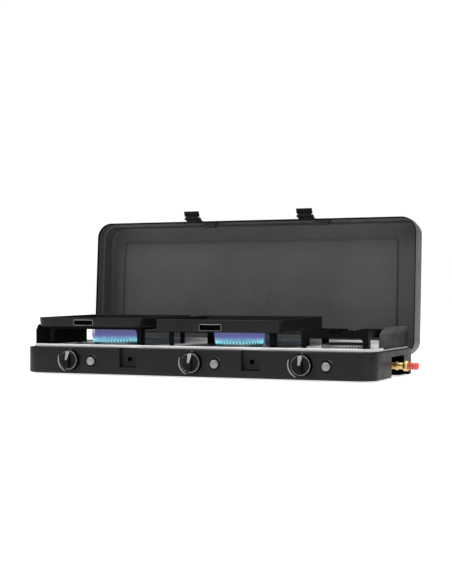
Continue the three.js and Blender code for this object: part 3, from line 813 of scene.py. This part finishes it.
def make_igniters():
    for name, knob_x in zip(SIDES, KNOB_X):
        at = Matrix.Translation((knob_x + BUTTON_OFFSET, 0, BUTTON_Z))
        collar = round_lathe([
            (8.8, -9, 0), (8.8, 0.6, 0.3), (9.8, 1.0, 0.3), (10.6, 0.9, 0.4), (11.0, 0.3, 0.2), (9.6, 0.25,
                    0), (9.5, -9, 0), (8.8, -9, 0),
        ], 56)
        housing = build(f"igniter_housing_{name}", collar.moved(at @ FORWARD), DEEP_BLACK_AND_SHADE)
        barrel = round_lathe([(0, 9, 0), (9.4, 9, 0.4), (9.4, 39, 1.2), (3, 40, 0.5), (0, 40, 0)], 40)
        housing_back = build(f"spark_generator_{name}", barrel.moved(along_y(knob_x + BUTTON_OFFSET,
                BUTTON_Z)), PLASTIC)
        settle(housing, "base")
        settle(housing_back, "base", [f"igniter_body_{name}"])
        dome = round_lathe([(0, -5, 0), (8.3, -5, 0), (8.3, 3.8, 0.9), (7.0, 5.5, 1.6), (4.2, 6.8, 2.5),
                            (0, 7.2, 0)], 56, 5)
        settle(build(f"igniter_dome_{name}", dome.moved(at @ FORWARD), GREY),
               f"igniter_button_{name}", [f"igniter_button_{name}"])


# ---- gas inlet ----
def make_inlet():
    turn = along_x(INLET_Y, INLET_Z)
    body = [(0, 357.5, 0), (6.5, 357.5, 0.5), (6.5, 370.5, 0.3), (8.2, 371, 0.5), (8.2, 375, 0.5),
            (6.5, 375.5, 0.3), (6.5, 386, 0.5)]
    thread = [(5.6, 386.4, 0)]
    for k in range(12):
        thread += [(5.5, 395.6 + k * 0.8, 0), (4.9, 396.0 + k * 0.8, 0)]
    bore = [(5.2, 406, 0), (3.2, 406, 0.3), (3.2, 392, 0), (0, 392, 0)]
    settle(build("inlet_union", lathe(rounded(body + thread + bore, 3), 48).moved(turn), BRASS),
           "base", ["inlet_fitting"], smooth=25)
    hexagon = [(9.8 * math.cos(math.radians(60 * k)), 9.8 * math.sin(math.radians(60 * k))) for k in range(6)]
    nut = build("inlet_hex_nut", prism(hexagon, 386.3, 395.7, 0.9, axis="z").moved(turn), BRASS)
    boolean(nut, cylinder(5.7, 380, 400, turn, 40))
    settle(nut, "base", ["inlet_nut"], smooth=30)
    cap = [(0, 406.5, 0), (5.8, 406.5, 0.3), (5.8, 396.2, 0), (7.8, 396.2, 0.4), (7.8, 398.4, 0.4),
           (7.2, 399, 0.4), (7.2, 415.4, 2.2), (0, 418, 0)]
    settle(build("dust_plug", round_lathe(cap, 48, 5).moved(turn), RED),
           "dust_cap", ["dust_cap"])
    route = [(347.6, 58, 15), (354, 59.4, 15), (360.5, 72, 14.5), (362, 100, 14), (363, 130, 15),
             (364.5, 148, 18), (365, 155.2, 19)]
    settle(build("inlet_copper_tube", sweep(route, 4.0, 24), COPPER), "base", ["inlet_pipe"])


# ---- pot stands, plates and shields ----
def serrated(a0, a1, top, pitch=3.2, depth=0.9):
    """A row of small bumps from a0 to a1 at a height, as outline points."""
    count = max(1, int(abs(a1 - a0) / pitch))
    step = (a1 - a0) / count
    out = []
    for k in range(count):
        a = a0 + step * k
        out += [(a + step * 0.1, top - depth), (a + step * 0.3, top), (a + step * 0.7, top),
                (a + step * 0.9, top - depth)]
    return out


def stand_front(x0, x1, band, dip):
    """Outline of a stand's front or rear: tapered legs, a strip between them and a dip on top."""
    mid = (x0 + x1) / 2
    left = [(x0, 52.5, 0.6), (x0 + 10, 52.5, 0.6), (x0 + 10, band - 7, 2), (x0 + 13.5, band, 1)]
    right = [(x1 - 13.5, band, 1), (x1 - 10, band - 7, 2), (x1 - 10, 52.5, 0.6), (x1, 52.5, 0.6)]
    top = [(x1, 90, 1.5), (x0, 90, 1.5)]
    if dip:
        top[1:1] = [(mid + dip, 90, 2), (mid + dip - 6, 83, 1.5), (mid - dip + 6, 83, 1.5),
                    (mid - dip, 90, 2)]
    return closed_round(left + right + top, 3)


def stand_side(y0, y1, band):
    """Outline of a stand's side: a flange behind each leg and a strip between them."""
    left = [(y0 + 1, 52.5, 0.6), (y0 + 16, 52.5, 0.6), (y0 + 16, band, 3)]
    right = [(y1 - 16, band, 3), (y1 - 16, 52.5, 0.6), (y1 - 1, 52.5, 0.6)]
    return closed_round(left + right + [(y1 - 1, 90, 1.2), (y0 + 1, 90, 1.2)], 3)


def make_stands():
    specs = ((-224.0, 106, 32, 236, 87, 0), (56.0, 112, 32, 232, 87, 0), (288.0, 66, 34, 168, 75.5, 17))
    t = 2.6
    for name, (cx, half, y0, y1, band, notch) in zip(SIDES, specs):
        x0, x1 = cx - half, cx + half
        aside = min(34, half * 0.26) + 6
        low_z = max(band, 82)
        cy = (y0 + y1) / 2
        shape = Shape()
        for low in (y0, y1 - t):
            shape.join(prism(stand_front(x0, x1, band, notch), low, low + t, 0.5))
            if notch:
                ridge = low - 0.7 if low == y0 else low + t - 0.5
                shape.join(block(x0 + 14, x1 - 14, ridge, ridge + 1.2, 79.4, 81.2, 0.5))
        for low in (x0, x1 - t):
            shape.join(prism(stand_side(y0, y1, band), low, low + t, 0.5, axis="x"))
        for side in (-1, 1):
            xa, xb = sorted((cx + side * (half - t / 2), cx + side * 22))
            comb = [(xa, low_z), (xb, low_z)] + serrated(xb, xa, 90)
            shape.join(prism(comb, cy - t / 2, cy + t / 2))
            ya, yb = sorted((y0 + t / 2 if side < 0 else y1 - t / 2, cy + side * 24))
            for dx in (-aside, aside):
                comb = [(ya, low_z), (yb, low_z)] + serrated(yb, ya, 90)
                shape.join(prism(comb, cx + dx - t / 2, cx + dx + t / 2, axis="x"))
        settle(build(f"pan_support_{name}", shape, IRON),
               f"pot_stand_{name}", [f"pot_stand_{name}"])


def slot_frame(x0, x1, z0, z1, y):
    """The bevelled surround of a grip slot, standing a little proud of the wall."""
    def loop(grow, depth):
        return [(a, depth, b) for a, b, _ in ring((x0 - grow, x1 + grow, z0 - grow, z1 + grow), 1.6 + grow,
                0, 5)]
    return loft([loop(1.6, y + 0.6), loop(1.4, y - 0.5), loop(0.7, y - 0.9), loop(0.0, y + 0.9),
                 loop(0.4, y + 2.4)], False)


PLATE_Y0, PLATE_Y1 = 22.0, 276.0


def raise_rear(shape, front, rear, low=93.4):
    """Stretches a plate's walls so that the rim climbs gently towards the back."""
    for v in shape.verts:
        share = min(max((v.z - low) / (106 - low), 0.0), 1.0)
        top = front + (rear - front) * (v.y - PLATE_Y0) / (PLATE_Y1 - PLATE_Y0)
        v.z += share * (top - 106)
    return shape


def make_plates():
    specs = (
        ("left", (-358.6, -115, PLATE_Y0, PLATE_Y1), 22, (-268, -225, 95.6, 104.4), 90.4, 110.0, 112.8),
        ("center", (-86, 184, PLATE_Y0, PLATE_Y1), 16, (15, 60, 87.8, 97.8), 83.6, 108.2, 112.4),
    )
    for name, rect, r, hole, bottom, front, rear in specs:
        if bottom > 90:
            profile = [(16, 90.4, 0), (2.2, 90.4, 5), (0, 106, 1.5), (3.0, 106, 1.3), (4.6, 93.4, 4),
                       (26, 93.4, 0)]
        else:
            profile = [(24, 90.4, 0), (4.4, 90.4, 2), (3.8, 83.6, 1.2), (0.8, 83.6, 1.4), (0, 106, 1.5),
                       (3.0, 106, 1.3),
                       (4.6, 93.4, 4), (26, 93.4, 0)]
        body = raise_rear(loft(inset_rings(rect, r, rounded(profile, 5), 12)), front, rear)
        plate = build(f"griddle_{name}", body, COATING)
        x0, x1, z0, z1 = hole
        boolean(plate, block(x0, x1, PLATE_Y0 - 2, PLATE_Y0 + 4.6, z0, z1, 1.6, 3))
        settle(plate, f"griddle_plate_{name}", [f"griddle_plate_{name}"], smooth=30)
        # The slot frame's lighter colour is a painted highlight on the slot's bevelled edges.
        settle(build(f"griddle_slot_frame_{name}", slot_frame(x0, x1, z0, z1, PLATE_Y0 + 0.5), SLOT_FRAME_HIGHLIGHT),
               f"griddle_plate_{name}")
        # A deep black box behind each grip slot: painted shade inside the slot, standing in for the dark
        # inside of the plate.
        shade_liner = block(x0 - 1, x1 + 1, PLATE_Y0 + 3.2, PLATE_Y0 + 9, z0 - 1, z1 + 1, 1.0)
        settle(build(f"griddle_slot_shade_liner_{name}", shade_liner, DEEP_BLACK_AND_SHADE), f"griddle_plate_{name}")
        if name == "left":
            ribs = Shape()
            count = 19
            for k in range(count):
                x = rect[0] + 22 + (rect[1] - rect[0] - 44) * k / (count - 1)
                inset = 24 if k in (0, count - 1) else 15
                ribs.join(block(x - 2.1, x + 2.1, PLATE_Y0 + inset, PLATE_Y1 - inset, 92.8, 95.8, 1.2))
            settle(build("griddle_ribs_left", ribs, COATING), "griddle_plate_left")


def shield_profile(steps=6):
    """Mid-line of a wind shield as (x, z) pairs with the distance along it."""
    line = rounded([(0, 52.5, 0), (0, 81, 2.2), (5.6, 95, 0)], steps)
    dense = []
    for (a, b), (c, d) in zip(line, line[1:]):
        for k in range(3):
            dense.append((a + (c - a) * k / 3, b + (d - b) * k / 3))
    dense.append(line[-1])
    run, out = 0.0, []
    for i, (a, b) in enumerate(dense):
        if i:
            run += math.dist((a, b), dense[i - 1])
        out.append((a, b, run))
    return out


def make_shields():
    line = shield_profile()
    total, fold = line[-1][2], 29.0
    for name, side, y0, y1 in SHIELDS:
        stations = [y0 + 19 * (k / 12) for k in range(13)] + [y1 - 19 * (k / 12) for k in range(12, -1, -1)]
        rings = []
        for y in stations:
            edge = min(y - y0, y1 - y)
            reach = min(total, fold + 0.6 + (total - fold) * (edge / 18.5) ** 0.85)
            outer, inner = [], []
            for a, b, s in line:
                t = min(s, reach)
                k = next((i for i in range(1, len(line)) if line[i][2] >= t), len(line) - 1)
                (pa, pb, ps), (qa, qb, qs) = line[k - 1], line[k]
                f = (t - ps) / (qs - ps) if qs > ps else 0.0
                px, pz = pa + (qa - pa) * f, pb + (qb - pb) * f
                tangent = Vector((qa - pa, qb - pb)).normalized()
                nx, nz = tangent.y * 0.6, -tangent.x * 0.6
                outer.append((side * (SHIELD_X + px + nx), y, pz + nz))
                inner.append((side * (SHIELD_X + px - nx), y, pz - nz))
            rings.append(outer + inner[::-1])
        shape = loft(rings)
        for y in (y0 + 30, y1 - 30):
            shape.join(block(side * SHIELD_X - 0.6, side * SHIELD_X + 0.6, y - 8, y + 8, 46, 54, 0.25))
        settle(build(f"shield_{name}", shape, SHIELD_PAINT),
               f"wind_shield_{name}", [f"wind_shield_{name}"], smooth=40)


# ---- lid and latches ----
LID_TOP = 116.0
PANEL = (-336.0, 320.0, 45.0, 256.0)


def make_lid():
    rect = (-LID_HALF, LID_HALF, 10.0, 299.0)
    x0, x1, y0, y1 = PANEL

    def panel(z, grooves):
        out = []
        for grow, dz in grooves:
            out.append(ring((x0 + grow, x1 - grow, y0 + grow, y1 - grow), 12 - grow, z + dz, 14))
        return out

    outside = rounded([(1.0, 51, 0), (0, 51, 0.6), (0, 77, 3.2), (4, 78.4, 2.2), (4, LID_TOP, 8),
                       (22, LID_TOP, 0)], 7)
    inside = rounded([(22, LID_TOP - 2.2, 0), (5.6, LID_TOP - 2.2, 6.4), (5.4, 77.0, 2), (1.6, 75.4, 2.4),
                      (1.6, 51, 0.5), (1.0, 51, 0)], 7)
    outer_lines = [(0, 0), (0.4, 0.3), (0.8, 1.8), (5.4, 1.8), (6.0, 0.3), (7, 0)]
    inner_lines = [(0, 0), (0.3, 0.2), (0.5, 2.5), (4.4, 2.5), (4.6, -0.2), (5.3, -0.6), (9, -0.6)]
    rings = list(reversed(panel(LID_TOP, outer_lines))) + list(reversed(inset_rings(rect, 33, outside, 14)))
    rings += list(reversed(inset_rings(rect, 33, inside, 14))) + panel(LID_TOP - 2.2, inner_lines)
    settle(build("lid_pressing", loft(rings), LID_PAINT),
           "lid", ["lid_shell"], swing=True, smooth=32)
    # A deep black band along the lid's lower edge: painted shade on the edge.
    edge_shade_profile = [(0.9, 50.75, 0.3), (2.6, 50.75, 0.3), (2.6, 54.5, 0.5), (1.9, 54.5, 0), (1.9, 51.2, 0),
            (0.9, 51.2, 0)]
    settle(build("lid_edge_shade_band", loft(inset_rings(rect, 33, rounded(edge_shade_profile, 3) + [edge_shade_profile[0][:2]], 14), False),
                 DEEP_BLACK_AND_SHADE),
           "lid", swing=True)
    for name, x in (("left", -98.0), ("right", 165.0)):
        pad = block(x - 15, x + 15, 11.2, 16.4, 57.2, 74, 1.6, 3)
        pad.join(block(x - 12, x + 12, 15.8, 23.0, 60, 73, 1.0, 3))
        settle(build(f"lid_bumper_{name}", pad, RUBBER), "lid", swing=True)
    settle(build("lid_droplet_emboss", droplet(10.0, 168.0, LID_TOP - 2.7), LID_PAINT),
           "lid", swing=True)


def droplet(cx, cy, z):
    """A plain droplet outline pressed into the lid's inner face."""
    points = []
    for k in range(60):
        t = 2 * math.pi * k / 60
        points.append((26 * math.sin(t) * math.sin(t / 2), -34 * math.cos(t)))
    outer, inner = [], []
    n = len(points)
    for k, (a, b) in enumerate(points):
        c, d = points[(k + 1) % n], points[k - 1]
        tangent = Vector((c[0] - d[0], c[1] - d[1])).normalized()
        outer.append((cx + a + tangent.y * 0.9, cy - b - tangent.x * -0.9))
        inner.append((cx + a - tangent.y * 0.9, cy - b + tangent.x * -0.9))
    return band_ring(outer, inner, z - 0.7, z)


def make_latches():
    for name, side in (("left", -1), ("right", 1)):
        x = side * LATCH_X
        y, z, half = 5.0, 43.5, 18.0
        bracket = block(x - half, x + half, 8.4, 9.7, z + 8, z + 24, 0.5)
        ear = closed_round([(9, z + 8, 0.5), (9, z + 13, 2), (y - 2, z + 3.4, 1.6), (y - 3.2, z, 1.6),
                            (y - 2, z - 3.2, 1.6),
                            (y + 2, z - 3.2, 1.2), (y + 2.8, z + 1, 1)], 4)
        bracket.join(block(x - half + 0.4, x + half - 0.4, 6.2, 9.2, z + 3.6, z + 9, 0.6))
        for low in (x - half, x + half - 3):
            bracket.join(prism(ear, low, low + 3, 0.4, axis="x"))
        bracket.join(cylinder(1.6, x - half + 1, x + half - 1, along_x(y, z), 24))
        for dx in (-10, 10):
            bracket.join(round_lathe([(0, 1.6, 0), (1.4, 1.5, 0.6), (2.4, 0, 0), (0, 0, 0)], 24).moved(
                Matrix.Translation((x + dx, 8.5, z + 19)) @ FORWARD))
        settle(build(f"latch_mount_{name}", bracket, PLASTIC),
               "lid", [f"latch_bracket_{name}"], swing=True)
        w = half - 3.4
        lever = cylinder(3, x - w, x + w, along_x(y, z), 32)
        lever.join(block(x - w, x + w, y - 1.4, y + 1.4, z - 6, z - 1, 0.4))
        lever.join(block(x - half, x + half, y - 1.6, y + 1.2, z - 17.4, z - 4.4, 1.4, 3))
        lever.join(round_lathe([(0, 1, 0), (2.4, 1, 0), (2.4, 4.8, 0.8), (1.8, 5.6, 0.6), (0, 5.6, 0)],
                               28).moved(along_y(x, 28.5) @ Matrix.Translation((0, 0, y))))
        for k in range(5):
            dx = -13 + 6.5 * k
            if k == 2:
                continue
            lever.join(block(x + dx - 1, x + dx + 1, y + 0.5, y + 2.6, z - 15.9, z - 6, 0.5))
        for k in range(9):
            dx = -14 + 3.5 * k
            lever.join(block(x + dx - 0.8, x + dx + 0.8, y - 2.2, y - 1.2, z - 15.9, z - 8, 0.35))
        pivot = Vector((0, y, z))
        rest = Matrix.Translation(pivot) @ Matrix.Rotation(math.radians(-61), 4,
                "X") @ Matrix.Translation(-pivot)
        piece = build(f"latch_lever_{name}", lever.moved(rest), PLASTIC)
        boolean(piece, cylinder(1.9, x - 30, x + 30, along_x(y, z), 24), joined=True)
        settle(piece, f"latch_{name}", [f"latch_{name}"], swing=True)


def finish_cad_nodes():
    """Materials for the inner CAD solids that stay in view through gaps."""
    looks = {"hinge_": ZINC, "tap_body": BRASS, "gas_rail": ZINC, "burner_feed": ZINC,
             "igniter_lead": SLEEVE, "tap_spindle": ZINC}
    for name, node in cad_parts.items():
        for prefix, look in looks.items():
            if name.startswith(prefix):
                node.data.materials.clear()
                node.data.materials.append(look)
                finish_smooth(node.data, 32)


# ---- stage ----
def make_stage():
    look = Look("studio_floor", (0.92, 0.92, 0.92), 0.7)
    look.set_color(look.blend(look.spread(look.noise(3, 3), 0.3, 0.7), (0.90, 0.90, 0.90),
            (0.94, 0.94, 0.94)))
    look.bsdf.inputs["Emission Color"].default_value = (1, 1, 1, 1)
    look.bsdf.inputs["Emission Strength"].default_value = 0.75
    mesh = bpy.data.meshes.new("studio_floor")
    size = 14.0
    z = -0.003
    mesh.from_pydata([(-size, -size, z), (size, -size, z), (size, size, z), (-size, size, z)], [],
                     [(0, 1, 2, 3)])
    mesh.materials.append(look.mat)
    link("studio_floor", mesh)


def area_light(name, spot, target, size, power):
    data = bpy.data.lights.new(name, "AREA")
    data.shape = "RECTANGLE"
    data.size, data.size_y = size
    data.energy = power
    light = link(name, data)
    light.location = spot
    light.rotation_euler = (Vector(target) - Vector(spot)).to_track_quat("-Z", "Y").to_euler()


def make_lights():
    """A soft studio: a white backdrop behind the stove, a dimmer room in front and three large lamps."""
    world = bpy.data.worlds.new("studio")
    world.use_nodes = True
    nodes, links = world.node_tree.nodes, world.node_tree.links
    sky = nodes["Background"]
    coords = nodes.new("ShaderNodeTexCoord")
    toward = nodes.new("ShaderNodeVectorMath")
    toward.operation = "DOT_PRODUCT"
    toward.inputs[1].default_value = (-0.4, 0.917, 0.0)
    links.new(coords.outputs["Generated"], toward.inputs[0])
    ramp = nodes.new("ShaderNodeMapRange")
    for key, value in {"From Min": 0.7, "From Max": 0.94, "To Min": 0.34, "To Max": 1.02}.items():
        ramp.inputs[key].default_value = value
    links.new(toward.outputs["Value"], ramp.inputs["Value"])
    links.new(ramp.outputs["Result"], sky.inputs["Strength"])
    sky.inputs["Color"].default_value = (1, 1, 1, 1)
    bpy.context.scene.world = world
    area_light("key", (-1.6, -2.0, 2.4), (0, 0, 0.1), (2.4, 1.4), 58)
    area_light("side", (2.2, -1.5, 0.35), (-0.2, 0, 0.08), (1.2, 0.5), 10)
    area_light("top", (0, 0.1, 2.4), (0, 0, 0), (2.6, 1.8), 60)


def make_camera():
    """The main view: from the front right, just above the plates."""
    data = bpy.data.cameras.new("camera")
    data.sensor_width = 36.0
    data.lens = LENS
    data.clip_end = 60
    camera = link("camera", data)
    camera.location = TO_FRAME @ CAMERA_AT
    camera.rotation_euler = (math.pi / 2 + CAMERA_PITCH, 0, CAMERA_YAW)
    bpy.context.scene.camera = camera


make_stage()
make_lights()
make_camera()
bpy.context.scene.view_settings.view_transform = "Standard"
for make in (
    make_base, make_pocket_ledges, make_deck, make_feet, make_marks, make_burners, make_flames,
    make_knobs, make_igniters, make_inlet, make_stands, make_plates, make_shields, make_lid,
    make_latches, finish_cad_nodes,
):
    make()
